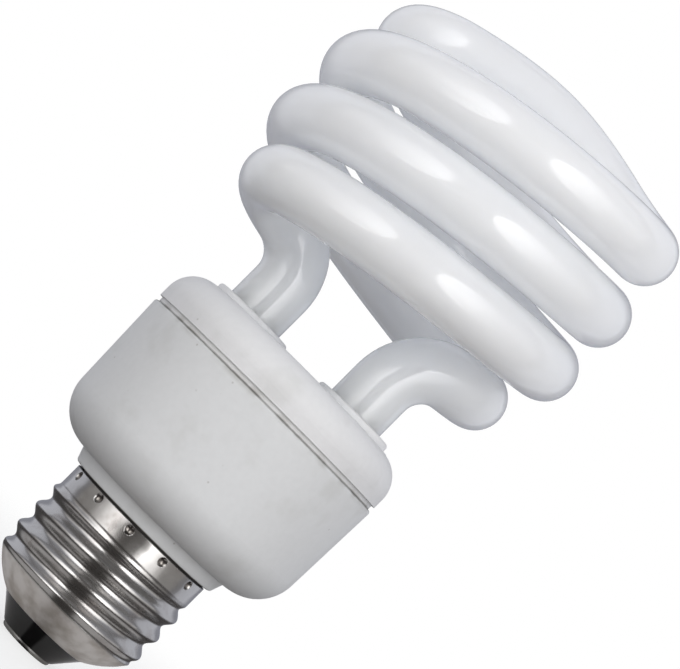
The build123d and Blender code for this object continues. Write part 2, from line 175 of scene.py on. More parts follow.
@dataclass(frozen=True)
class Finish:
    """A surface with slow colour mottle and a fine grain, enough for plain pieces inside the lamp."""

    name: str
    colour: str
    shade: str
    roughness: float
    metallic: float = 0.0
    mottle_mm: float = 2.5
    grain_mm: float = 0.3
    grain_depth_mm: float = 0.006

    def material(self) -> bpy.types.Material:
        """Build the material.

        Returns:
            A material whose colour and bump come from noise on Object coordinates.
        """
        made, tree, shader, place = self.start()
        mottle = self.noise(tree, place, self.mottle_mm)
        tint = self.blend(tree, mottle, self.colour, self.shade)
        tree.links.new(tint, shader.inputs["Base Color"])
        grain = self.noise(tree, place, self.grain_mm)
        tree.links.new(self.bump(tree, grain, self.grain_depth_mm), shader.inputs["Normal"])
        return made

    def start(
        self,
    ) -> tuple[bpy.types.Material, bpy.types.NodeTree, bpy.types.Node, bpy.types.NodeSocket]:
        """Make an empty material with its shader.

        Returns:
            The material, its node tree, its Principled shader and the Object coordinates.
        """
        made = bpy.data.materials.new(self.name)
        made.use_nodes = True
        tree = made.node_tree
        tree.nodes.clear()
        shader = add_node(
            tree, "ShaderNodeBsdfPrincipled", {"Roughness": self.roughness, "Metallic": self.metallic}
        )
        add_node(tree, "ShaderNodeOutputMaterial", {"Surface": shader.outputs["BSDF"]})
        place = add_node(tree, "ShaderNodeTexCoord").outputs["Object"]
        return made, tree, shader, place

    @staticmethod
    def noise(
        tree: bpy.types.NodeTree,
        place: bpy.types.NodeSocket,
        size_mm: float,
        detail: float = 3.0,
    ) -> bpy.types.NodeSocket:
        """Add a noise whose features are of a given size.

        Args:
            tree: Node tree of the material.
            place: Coordinates that the noise is laid on.
            size_mm: Size of one feature in millimetres.
            detail: Number of finer layers.

        Returns:
            The noise's factor.
        """
        sockets = {"Vector": place, "Scale": per_metre(size_mm), "Detail": detail}
        return add_node(tree, "ShaderNodeTexNoise", sockets).outputs["Fac"]

    @staticmethod
    def blend(
        tree: bpy.types.NodeTree,
        factor: bpy.types.NodeSocket,
        first: str | bpy.types.NodeSocket,
        second: str | bpy.types.NodeSocket,
    ) -> bpy.types.NodeSocket:
        """Mix two colours.

        Args:
            tree: Node tree of the material.
            factor: Zero for the first colour, one for the second.
            first: Hex colour or colour socket.
            second: Hex colour or colour socket.

        Returns:
            The mixed colour.
        """
        ends = [linear(end) if isinstance(end, str) else end for end in (first, second)]
        mix = add_node(tree, "ShaderNodeMix", {0: factor, 6: ends[0], 7: ends[1]}, data_type="RGBA")
        return mix.outputs[2]

    @staticmethod
    def ramp(
        tree: bpy.types.NodeTree,
        value: bpy.types.NodeSocket,
        low: float,
        high: float,
        to_low: float = 0.0,
        to_high: float = 1.0,
    ) -> bpy.types.NodeSocket:
        """Map a value smoothly from one range to another.

        Args:
            tree: Node tree of the material.
            value: Value to map.
            low: Start of the range that is read.
            high: End of the range that is read.
            to_low: Result at the start.
            to_high: Result at the end.

        Returns:
            The mapped value.
        """
        sockets = {"Value": value, 1: low, 2: high, 3: to_low, 4: to_high}
        mapped = add_node(tree, "ShaderNodeMapRange", sockets, interpolation_type="SMOOTHSTEP")
        return mapped.outputs["Result"]

    @staticmethod
    def bump(
        tree: bpy.types.NodeTree,
        height: bpy.types.NodeSocket,
        depth_mm: float,
        under: bpy.types.NodeSocket | None = None,
    ) -> bpy.types.NodeSocket:
        """Turn a height into a surface normal.

        Args:
            tree: Node tree of the material.
            height: Height from zero to one.
            depth_mm: Depth of the relief in millimetres.
            under: Normal of a coarser relief below this one.

        Returns:
            The bumped normal.
        """
        sockets: dict[str | int, Any] = {"Height": height, "Distance": depth_mm * MM}
        if under is not None:
            sockets["Normal"] = under
        return add_node(tree, "ShaderNodeBump", sockets).outputs["Normal"]


@dataclass(frozen=True)
class OpalGlass(Finish):
    """Clear drawn glass over a white powder coat: soft white below, a sharp gloss on top.

    Light that the coat throws back is cool, and part of it passes on through the tube and fills the gaps.
    The coat is thinner and greyer towards the tube's ends, and drawn glass is never quite straight, so
    reflections waver a little.
    """

    end_colour: str = "#DADCDC"
    end_low_mm: float = top_mm(Node.COVER) + 0.7
    end_high_mm: float = top_mm(Node.COVER) + 18.7
    glass_ior: float = 1.55
    glass_roughness: float = 0.06
    glow: float = 1.0
    glow_mm: tuple[float, float, float] = (22.0, 21.5, 20.5)
    wave_mm: float = 9.0
    wave_depth_mm: float = 0.05

    def material(self) -> bpy.types.Material:
        """Build the material.

        Returns:
            Translucent white under a clear glossy coat.
        """
        made, tree, shader, place = self.start()
        cloud = self.noise(tree, place, self.mottle_mm)
        white = self.blend(tree, cloud, self.colour, self.shade)
        whole = self.ramp(tree, height_of(tree, place), self.end_low_mm * MM, self.end_high_mm * MM)
        tree.links.new(self.blend(tree, whole, self.end_colour, white), shader.inputs["Base Color"])
        wave = self.noise(tree, place, self.wave_mm, detail=1.0)
        normal = self.bump(tree, wave, self.wave_depth_mm)
        tree.links.new(normal, shader.inputs["Coat Normal"])
        shader.inputs["Coat Weight"].default_value = 1.0
        shader.inputs["Coat IOR"].default_value = self.glass_ior
        shader.inputs["Coat Roughness"].default_value = self.glass_roughness
        shader.inputs["Subsurface Weight"].default_value = self.glow
        shader.inputs["Subsurface Radius"].default_value = self.glow_mm
        shader.inputs["Subsurface Scale"].default_value = MM
        return made


@dataclass(frozen=True)
class MouldedPlastic(Finish):
    """White injection moulded plastic with a spark eroded grain, a few small specks and handling dirt."""

    smudge_colour: str = "#BEBEBB"
    smudge_mm: float = 6.0
    smudge_noise: tuple[float, float] = (0.52, 0.75)
    smudge_share: float = 0.3
    speck_colour: str = "#A8A6A3"
    speck_mm: float = 0.5
    speck_step_mm: float = 2.4
    speck_share: float = 0.45
    dirt_colour: str = "#A5A39E"
    dirt_mm: float = 4.0
    dirt_noise: tuple[float, float] = (0.4, 0.7)
    dirt_share: float = 0.7
    seam_mm: float = top_mm(Node.HOUSING)
    seam_reach_mm: float = 1.0
    # Dirt and painted shade along the seam: a thin dark line in it.
    seam_dirt_and_shade_colour: str = "#65635F"
    line_mm: float = 0.3
    seam_dirt_and_shade_noise: tuple[float, float] = (0.3, 0.7)
    seam_dirt_and_shade_share: float = 0.6
    # Grime and painted shade in the joint over the screw shell: a dark band just above the shell's edge.
    joint_grime_and_shade_colour: str = "#4A4744"
    joint_grime_and_shade_mm: float = top_mm(Node.SHELL) + 0.35
    joint_grime_and_shade_reach_mm: float = 0.2

    def material(self) -> bpy.types.Material:
        """Build the material.

        Returns:
            Fine grained matt plastic with specks, smudges, a dirty seam with a dark line of dirt and
            painted shade in it, and grime with painted shade in the joint over the screw shell.
        """
        made, tree, shader, place = self.start()
        mottle = self.noise(tree, place, self.mottle_mm)
        body = self.blend(tree, mottle, self.colour, self.shade)
        smudge = self.noise(tree, place, self.smudge_mm)
        smudge = self.ramp(tree, smudge, *self.smudge_noise, to_high=self.smudge_share)
        body = self.blend(tree, smudge, body, self.smudge_colour)
        body = self.blend(tree, self.specks(tree, place), body, self.speck_colour)
        height = height_of(tree, place)
        patch = self.noise(tree, place, self.dirt_mm)
        dirt = self.ramp(tree, patch, *self.dirt_noise, to_high=self.dirt_share)
        dirt = self.along_seam(tree, height, dirt, self.seam_reach_mm)
        body = self.blend(tree, dirt, body, self.dirt_colour)
        # Dirt and painted shade: a thin dark line at the seam, patchy along its length.
        line = self.ramp(tree, patch, *self.seam_dirt_and_shade_noise, to_low=self.seam_dirt_and_shade_share)
        line = self.along_seam(tree, height, line, self.line_mm)
        body = self.blend(tree, line, body, self.seam_dirt_and_shade_colour)
        # Grime and painted shade: the plastic goes dark just above the shell's edge, standing in for the
        # shadow in the joint.
        above = self.ramp(tree, height, self.joint_grime_and_shade_mm * MM, (self.joint_grime_and_shade_mm + self.joint_grime_and_shade_reach_mm) * MM)
        body = self.blend(tree, above, self.joint_grime_and_shade_colour, body)
        tree.links.new(body, shader.inputs["Base Color"])
        grain = self.noise(tree, place, self.grain_mm)
        tree.links.new(self.bump(tree, grain, self.grain_depth_mm), shader.inputs["Normal"])
        return made

    def specks(self, tree: bpy.types.NodeTree, place: bpy.types.NodeSocket) -> bpy.types.NodeSocket:
        """Small specks, one in some of the cells of a loose grid.

        Args:
            tree: Node tree of the material.
            place: Object coordinates.

        Returns:
            One on a speck, zero beside it.
        """
        cells = add_node(
            tree, "ShaderNodeTexVoronoi", {"Vector": place, "Scale": per_metre(self.speck_step_mm)}
        ).outputs
        edge = self.speck_mm / 2 / self.speck_step_mm
        spot = self.ramp(tree, cells["Distance"], 0.0, edge, 1.0, 0.0)
        draw = add_node(tree, "ShaderNodeSeparateXYZ", {0: cells["Color"]}).outputs["X"]
        chosen = self.ramp(tree, draw, 1 - self.speck_share, 1.0)
        return reckon(tree, "MULTIPLY", spot, chosen)

    def along_seam(
        self,
        tree: bpy.types.NodeTree,
        height: bpy.types.NodeSocket,
        amount: bpy.types.NodeSocket,
        reach_mm: float,
    ) -> bpy.types.NodeSocket:
        """Keep an amount of dirt only close to the seam between case and cover.

        Args:
            tree: Node tree of the material.
            height: Height on the lamp in metres.
            amount: Dirt on the seam itself.
            reach_mm: Height above and below the seam at which none is left.

        Returns:
            Amount of dirt from zero to one.
        """
        off = reckon(tree, "ABSOLUTE", reckon(tree, "SUBTRACT", height, self.seam_mm * MM))
        near = self.ramp(tree, off, 0.0, reach_mm * MM, 1.0, 0.0)
        return reckon(tree, "MULTIPLY", near, amount)


@dataclass(frozen=True)
class NickelPlate(Finish):
    """Rolled brass sheet with bright nickel plate: warm grey, faintly tarnished, with fine rolling lines.

    The shoulder under the thread is duller and stained, and tarnish with painted shade darkens the punched
    marks.
    """

    tarnish_noise: tuple[float, float] = (0.45, 0.8)
    tarnish_roughness: float = 0.08
    line_mm: float = 0.22
    line_depth_mm: float = 0.0015
    dent_mm: float = 4.2
    dent_depth_mm: float = 0.2
    thread_dent_share: float = 0.25
    skirt_mm: float = top_mm(Node.SHELL) - 3.4
    skirt_fade_mm: float = 0.5
    skirt_r_mm: float = 12.575
    # Tarnish and painted shade in the punched marks.
    mark_tarnish_and_shade_colour: str = "#86817C"
    mark_depth_mm: float = 0.3
    shoulder_colour: str = "#CCC8C5"
    shoulder_shade: str = "#A39C95"
    shoulder_noise: tuple[float, float] = (0.35, 0.7)
    shoulder_roughness: float = 0.5
    shoulder_metallic: float = 0.25
    shoulder_low_mm: float = 7.9
    shoulder_high_mm: float = 8.5
    edge_mm: float = 0.2

    def material(self) -> bpy.types.Material:
        """Build the material.

        Returns:
            Bright metal with mottled tarnish, rolling lines, a dull shoulder and a slightly buckled skirt.
        """
        made, tree, shader, place = self.start()
        height = height_of(tree, place)
        thread_end, skirt_start = self.skirt_mm - self.skirt_fade_mm, self.skirt_mm + self.skirt_fade_mm
        skirt = self.ramp(tree, height, thread_end * MM, skirt_start * MM)
        dull = self.ramp(tree, height, self.shoulder_low_mm * MM, self.shoulder_high_mm * MM, 1.0, 0.0)
        cloud = self.noise(tree, place, self.mottle_mm)
        mottle = self.ramp(tree, cloud, *self.tarnish_noise)
        body = self.blend(tree, mottle, self.colour, self.shade)
        stain = self.ramp(tree, cloud, *self.shoulder_noise)
        stained = self.blend(tree, stain, self.shoulder_colour, self.shoulder_shade)
        body = self.blend(tree, dull, body, stained)
        # Tarnish and painted shade: darker the deeper the skirt's surface is sunk in a mark.
        body = self.blend(tree, self.tarnish_and_shade_in_marks(tree, place, skirt), body, self.mark_tarnish_and_shade_colour)
        tree.links.new(body, shader.inputs["Base Color"])
        rough = self.ramp(tree, mottle, 0.0, 1.0, self.roughness, self.roughness + self.tarnish_roughness)
        rough = add_node(tree, "ShaderNodeMix", {0: dull, 2: rough, 3: self.shoulder_roughness}).outputs[0]
        tree.links.new(rough, shader.inputs["Roughness"])
        metal = self.ramp(tree, dull, 0.0, 1.0, self.metallic, self.shoulder_metallic)
        tree.links.new(metal, shader.inputs["Metallic"])
        upright = add_node(tree, "ShaderNodeCombineXYZ", {"Z": height}).outputs[0]
        lines = self.noise(tree, upright, self.line_mm)
        dents = self.noise(tree, place, self.dent_mm, detail=1.0)
        share = self.ramp(tree, skirt, 0.0, 1.0, self.thread_dent_share, 1.0)
        buckle = reckon(tree, "MULTIPLY", dents, share)
        edges = add_node(tree, "ShaderNodeBevel", {"Radius": self.edge_mm * MM}).outputs["Normal"]
        normal = self.bump(tree, buckle, self.dent_depth_mm, edges)
        tree.links.new(self.bump(tree, lines, self.line_depth_mm, normal), shader.inputs["Normal"])
        return made

    def tarnish_and_shade_in_marks(
        self,
        tree: bpy.types.NodeTree,
        place: bpy.types.NodeSocket,
        skirt: bpy.types.NodeSocket,
    ) -> bpy.types.NodeSocket:
        """Tarnish and painted shade in the punched marks, which lie inside the skirt's round.

        Args:
            tree: Node tree of the material.
            place: Object coordinates.
            skirt: One on the skirt, zero on the thread.

        Returns:
            Amount of tarnish and painted shade from zero to one.
        """
        flat = add_node(
            tree, "ShaderNodeVectorMath", {0: place, 1: (1, 1, 0)}, operation="MULTIPLY"
        ).outputs[0]
        out = add_node(tree, "ShaderNodeVectorMath", {0: flat}, operation="LENGTH").outputs["Value"]
        deep = (self.skirt_r_mm - self.mark_depth_mm) * MM
        sunk = self.ramp(tree, out, deep, self.skirt_r_mm * MM, 1.0, 0.0)
        return reckon(tree, "MULTIPLY", sunk, skirt)


OPAL_GLASS = OpalGlass("opal_glass", "#F8FBFF", "#F4F8FD", 0.5, mottle_mm=6.0)
HOUSING_PLASTIC = MouldedPlastic("moulded_housing_plastic", "#DCDDDE", "#D5D6D7", 0.6, mottle_mm=1.0)
COVER_PLASTIC = MouldedPlastic("moulded_cover_plastic", "#E1E1E2", "#DADADB", 0.55, mottle_mm=1.0)
NICKEL_PLATE = NickelPlate("nickel_plated_brass", "#B6B4B2", "#9E9996", 0.21, metallic=1.0, mottle_mm=3.5)
BLACK_GLASS = Finish("moulded_black_glass", "#08080A", "#0E0E10", 0.08, grain_mm=1.5, grain_depth_mm=0.02)
CONTACT_METAL = Finish(
    "soldered_contact_metal", "#A3A3A1", "#7F7E7B", 0.32, metallic=1.0, grain_mm=0.9, grain_depth_mm=0.04
)

INNER_FINISHES = {
    "tube_cement": Finish("set_cement", "#D8D3C6", "#C6C0B0", 0.85),
    "circuit_board": Finish("resin_paper_board", "#B98F4E", "#A97F40", 0.55),
    "choke_core": Finish("sintered_ferrite", "#3A3A3D", "#2C2C2E", 0.6),
    "choke_bobbin": Finish("moulded_bobbin_plastic", "#2A2A2A", "#1E1E1E", 0.5),
    "choke_winding": Finish("enamelled_copper", "#B5652F", "#8E4A1E", 0.3, metallic=1.0, grain_mm=0.25),
    "bulk_capacitor": Finish("shrunk_sleeve", "#1E2230", "#171A26", 0.3),
    "ring_core": Finish("sintered_ferrite_ring", "#3A3A3D", "#2C2C2E", 0.6),
    "ring_windings": Finish("covered_winding_wire", "#A92A1F", "#8E2018", 0.4, grain_mm=0.5),
    "transistor_high": Finish("moulded_epoxy_high", "#232323", "#1A1A1A", 0.5),
    "transistor_low": Finish("moulded_epoxy_low", "#232323", "#1A1A1A", 0.5),
    "resonant_capacitor": Finish("dipped_epoxy_resonant", "#9A4328", "#84351E", 0.25),
    "blocking_capacitor": Finish("dipped_epoxy_blocking", "#9A4328", "#84351E", 0.25),
    "rectifier_diodes": Finish("moulded_epoxy_diode", "#232323", "#1A1A1A", 0.5),
    "start_resistors": Finish("resistor_lacquer", "#C4A878", "#B09060", 0.35),
    "trigger_diode": Finish("lacquered_glass_bead", "#2F4F9A", "#284488", 0.2),
    "fusible_resistor": Finish("fusible_resistor_lacquer", "#8FA08F", "#7C8E7C", 0.4),
    "neutral_lead": Finish("covered_lead", "#262626", "#1C1C1C", 0.4),
    "wrap_pins": Finish("tinned_pin", "#C8C7C2", "#AFAEA8", 0.3, metallic=1.0),
    "filament_leads": Finish("tinned_lead", "#C8C7C2", "#AFAEA8", 0.3, metallic=1.0),
}


def dress(node: str, finish: Finish) -> None:
    """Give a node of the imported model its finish.

    Args:
        node: Name of the node.
        finish: Finish that all its surfaces get.
    """
    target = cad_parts[node]
    made = finish.material()
    for place in target.material_slots:
        place.material = made
    if not target.material_slots:
        target.data.materials.append(made)
    log.info("dressed %s in %s", node, finish.name)


@dataclass
class ScrewCap:
    """The cap: rolled shell, black glass insulator and centre contact."""

    def dress(self) -> None:
        """Give each piece of the cap its finish."""
        dress(Node.SHELL.value, NICKEL_PLATE)
        dress(Node.INSULATOR.value, BLACK_GLASS)
        dress(Node.CONTACT.value, CONTACT_METAL)


@dataclass
class BallastHousing:
    """The moulded case and cover, and the ballast that they hold."""

    def dress(self) -> None:
        """Give the case, the cover and each piece inside its finish."""
        dress(Node.HOUSING.value, HOUSING_PLASTIC)
        dress(Node.COVER.value, COVER_PLASTIC)
        for node, finish in INNER_FINISHES.items():
            dress(node, finish)


@dataclass
class SpiralTube:
    """The sealed glass tube: two legs, two arms that climb as a double helix, and a bridge on top.

    Seen from above, an arm is an arc out from its leg, the coil's circle, a tighter arc inwards and half
    of the straight bridge. Its height is a bend, the coil's slope, then the crown.
    """

    tube_d: float = 9.6
    turn_gap: float = 1.3
    coil_turns: int = 1
    leg_x: float = 10.1
    leg_y: float = -2.0
    leg_clear: float = 5.3
    leg_bend_r: float = 8.0
    crown_bend_r: float = 8.0
    crown_rise: float = 5.85
    end_round: float = 3.0
    step: float = 0.5
    ring_step: float = 0.8
    ring_sides: int = 48

    def __post_init__(self) -> None:
        """Take the coil's width and the legs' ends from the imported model."""
        low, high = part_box(Node.TUBE.value)
        self.coil_r = ((high.x - low.x) / MM - self.tube_d) / 2
        self.leg_end_z = low.z / MM
        self.bend_z = top_mm(Node.COVER) + self.leg_clear

    def seen_from_above(self, along: float) -> tuple[float, float]:
        """Place on an arm's plan.

        Args:
            along: Distance from the leg along the plan, in millimetres.

        Returns:
            X and Y in millimetres.
        """
        if along < self.entry:
            turn = along / self.entry_r - math.pi / 2
            x = self.leg_x + self.entry_r * math.cos(turn)
            return x, self.leg_y + self.entry_r * (1 + math.sin(turn))
        along -= self.entry
        if along < self.coil:
            turn = self.entry_end + along / self.coil_r
            return self.coil_r * math.cos(turn), self.coil_r * math.sin(turn)
        along -= self.coil
        if along < self.swing:
            turn = self.crown_start + along / self.crown_bend_r
            x = self.crown_bend_r * math.cos(turn) - self.crown_x
            return x, self.crown_bend_r * (1 + math.sin(turn))
        return along - self.swing - self.crown_x, 0.0

    def lay_out(self) -> None:
        """Work out the lengths and turns of an arm's plan."""
        coil_r, bend_r = self.coil_r, self.crown_bend_r
        self.entry_r = (coil_r**2 - self.leg_x**2 - self.leg_y**2) / (2 * (coil_r + self.leg_y))
        self.entry_end = math.atan2(self.leg_y + self.entry_r, self.leg_x)
        self.crown_x = math.sqrt((coil_r - bend_r) ** 2 - bend_r**2)
        self.crown_start = 2 * math.pi * self.coil_turns + math.atan2(bend_r, -self.crown_x)
        self.entry = self.entry_r * (self.entry_end + math.pi / 2)
        self.coil = coil_r * (self.crown_start - self.entry_end)
        self.swing = bend_r * (2 * math.pi * self.coil_turns + 1.5 * math.pi - self.crown_start)
        self.slope = (self.tube_d + self.turn_gap) / (math.pi * coil_r)

    def arm(self) -> list[Vector]:
        """Middle of the tube from one end up to the middle of the bridge.

        Returns:
            Points in metres, close enough together to follow every bend.
        """
        self.lay_out()
        leg = self.bend_z - self.leg_end_z
        count = math.ceil(leg / self.step)
        points = [(self.leg_x, self.leg_y, self.leg_end_z + leg * part / count) for part in range(count)]
        bend = math.pi / 2 - math.atan(self.slope)
        count = math.ceil(self.leg_bend_r * bend / self.step)
        along = 0.0
        for part in range(count + 1):
            turn = bend * part / count
            along = self.leg_bend_r * (1 - math.cos(turn))
            points.append((*self.seen_from_above(along), self.bend_z + self.leg_bend_r * math.sin(turn)))
        climb_z = points[-1][2]
        climb = self.entry + self.coil - along
        count = math.ceil(climb / self.step)
        for part in range(1, count + 1):
            gone = climb * part / count
            points.append((*self.seen_from_above(along + gone), climb_z + self.slope * gone))
        top_z = points[-1][2]
        crown = self.swing + self.crown_x
        count = math.ceil(crown / self.step)
        for place in range(1, count + 1):
            part = place / count
            lift = self.crown_rise * part**2 * (3 - 2 * part) + self.slope * crown * part * (1 - part) ** 2
            points.append((*self.seen_from_above(self.entry + self.coil + crown * part), top_z + lift))
        return [Vector(point) * MM for point in points]

    def route(self) -> bpy.types.Object:
        """Make the whole tube's middle line.

        Returns:
            A curve object with one open spline from end to end.
        """
        arm = self.arm()
        half_turn = Matrix.Rotation(math.pi, 3, "Z")
        points = arm + [half_turn @ point for point in reversed(arm[:-1])]
        curve = bpy.data.curves.new("tube_route", "CURVE")
        curve.dimensions = "3D"
        spline = curve.splines.new("POLY")
        spline.points.add(len(points) - 1)
        for place, point in zip(spline.points, points):
            place.co = (*point, 1.0)
        made = bpy.data.objects.new("tube_route", curve)
        bpy.context.scene.collection.objects.link(made)
        return made

    def sweep_tree(self) -> bpy.types.GeometryNodeTree:
        """Build the node tree that turns the middle line into a tube with rounded ends.

        Returns:
            The tree, with named inputs for the tube's sizes.
        """
        tree = bpy.data.node_groups.new("bent_glass_tube", "GeometryNodeTree")
        inputs = {
            "Geometry": "NodeSocketGeometry",
            "Tube Radius": "NodeSocketFloat",
            "End Rounding": "NodeSocketFloat",
            "Ring Step": "NodeSocketFloat",
            "Ring Sides": "NodeSocketInt",
            "Glass": "NodeSocketMaterial",
        }
        for name, kind in inputs.items():
            tree.interface.new_socket(name, in_out="INPUT", socket_type=kind)
        tree.interface.new_socket("Geometry", in_out="OUTPUT", socket_type="NodeSocketGeometry")
        given = add_node(tree, "NodeGroupInput").outputs
        line = add_node(
            tree, "GeometryNodeResampleCurve", {"Curve": given["Geometry"], "Length": given["Ring Step"]},
            mode="LENGTH",
        ).outputs["Curve"]
        ring = add_node(
            tree, "GeometryNodeCurvePrimitiveCircle",
            {"Resolution": given["Ring Sides"], "Radius": given["Tube Radius"]},
        ).outputs["Curve"]
        scale = self.end_scale(tree, given["End Rounding"], given["Tube Radius"])
        line = add_node(
            tree, "GeometryNodeSetCurveRadius", {"Curve": line, "Radius": scale}
        ).outputs["Curve"]
        tube = add_node(
            tree, "GeometryNodeCurveToMesh", {"Curve": line, "Profile Curve": ring, "Fill Caps": True}
        ).outputs["Mesh"]
        tube = add_node(tree, "GeometryNodeSetShadeSmooth", {0: tube}).outputs[0]
        tube = add_node(tree, "GeometryNodeRealizeInstances", {0: tube}).outputs[0]
        tube = add_node(tree, "GeometryNodeSetMaterial", {0: tube, "Material": given["Glass"]}).outputs[0]
        add_node(tree, "NodeGroupOutput", {0: tube})
        return tree

    @staticmethod
    def end_scale(
        tree: bpy.types.GeometryNodeTree,
        rounding: bpy.types.NodeSocket,
        radius: bpy.types.NodeSocket,
    ) -> bpy.types.NodeSocket:
        """Scale of the ring along the tube: one, and a quarter round down towards each end.

        Args:
            tree: Node tree of the tube.
            rounding: Radius of the rounded edge at each end.
            radius: Radius of the tube.

        Returns:
            The ring's scale at each point of the line.
        """
        gone = add_node(tree, "GeometryNodeSplineParameter").outputs["Length"]
        whole = add_node(tree, "GeometryNodeSplineLength").outputs["Length"]
        near = reckon(tree, "MINIMUM", gone, reckon(tree, "SUBTRACT", whole, gone))
        share = reckon(tree, "DIVIDE", near, rounding, clamp=True)
        short = reckon(tree, "SUBTRACT", 1.0, share)
        square = reckon(tree, "MULTIPLY", short, short)
        arc = reckon(tree, "SQRT", reckon(tree, "SUBTRACT", 1.0, square))
        lost = reckon(tree, "SUBTRACT", 1.0, arc)
        part = reckon(tree, "DIVIDE", rounding, radius)
        return reckon(tree, "SUBTRACT", 1.0, reckon(tree, "MULTIPLY", lost, part))

    def build(self) -> bpy.types.Object:
        """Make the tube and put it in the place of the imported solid.

        Returns:
            The tube as a plain mesh object.
        """
        source = self.route()
        tree = self.sweep_tree()
        modifier = source.modifiers.new("sweep", "NODES")
        modifier.node_group = tree
        values = {
            "Tube Radius": self.tube_d / 2 * MM,
            "End Rounding": self.end_round * MM,
            "Ring Step": self.ring_step * MM,
            "Ring Sides": self.ring_sides,
            "Glass": OPAL_GLASS.material(),
        }
        for item in tree.interface.items_tree:
            if item.name in values and item.in_out == "INPUT":
                modifier[item.identifier] = values[item.name]
        shaped = source.evaluated_get(bpy.context.evaluated_depsgraph_get())
        mesh = bpy.data.meshes.new_from_object(shaped)
        mesh.name = "glass_spiral"
        source.modifiers.remove(modifier)
        bpy.data.objects.remove(source)
        made = bpy.data.objects.new("glass_spiral", mesh)
        bpy.context.scene.collection.objects.link(made)
        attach(made, "root")
        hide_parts(Node.TUBE.value)
        log.info("built %s with %d faces", made.name, len(mesh.polygons))
        return made


@dataclass(frozen=True)
class Softbox:
    """An oval studio lamp, aimed at the middle of the object, whose front can fade to one side."""

    name: str
    azimuth: float
    brightness: float
    elevation: float = 16.0
    distance_mm: float = 700.0
    width_mm: float = 660.0
    height_mm: float = 900.0
    near_share: float = 1.0
    far_share: float = 1.0

    def build(self, target: Vector) -> None:
        """Make the lamp.

        Args:
            target: Point that it faces, in metres.
        """
        light = bpy.data.lights.new(self.name, "AREA")
        light.shape = "ELLIPSE"
        light.size = self.width_mm * MM
        light.size_y = self.height_mm * MM
        light.energy = self.brightness * math.pi * light.size * light.size_y
        self.shape_front(light)
        made = bpy.data.objects.new(self.name, light)
        side, up = math.radians(self.azimuth), math.radians(self.elevation)
        out = Vector((math.sin(side) * math.cos(up), -math.cos(side) * math.cos(up), math.sin(up)))
        made.location = target + out * self.distance_mm * MM
        made.rotation_euler = out.to_track_quat("Z", "Y").to_euler()
        made.visible_camera = False
        bpy.context.scene.collection.objects.link(made)

    def shape_front(self, light: bpy.types.AreaLight) -> None:
        """Let the front fade evenly from one upright edge to the other.

        Args:
            light: The lamp's data.
        """
        light.use_nodes = True
        tree = light.node_tree
        tree.nodes.clear()
        place = add_node(tree, "ShaderNodeNewGeometry").outputs["Parametric"]
        across = add_node(tree, "ShaderNodeSeparateXYZ", {0: place}).outputs["X"]
        share = Finish.ramp(tree, across, 0.0, 1.0, self.near_share, self.far_share)
        glow = add_node(tree, "ShaderNodeEmission", {"Strength": share}).outputs[0]
        add_node(tree, "ShaderNodeOutputLight", {"Surface": glow})


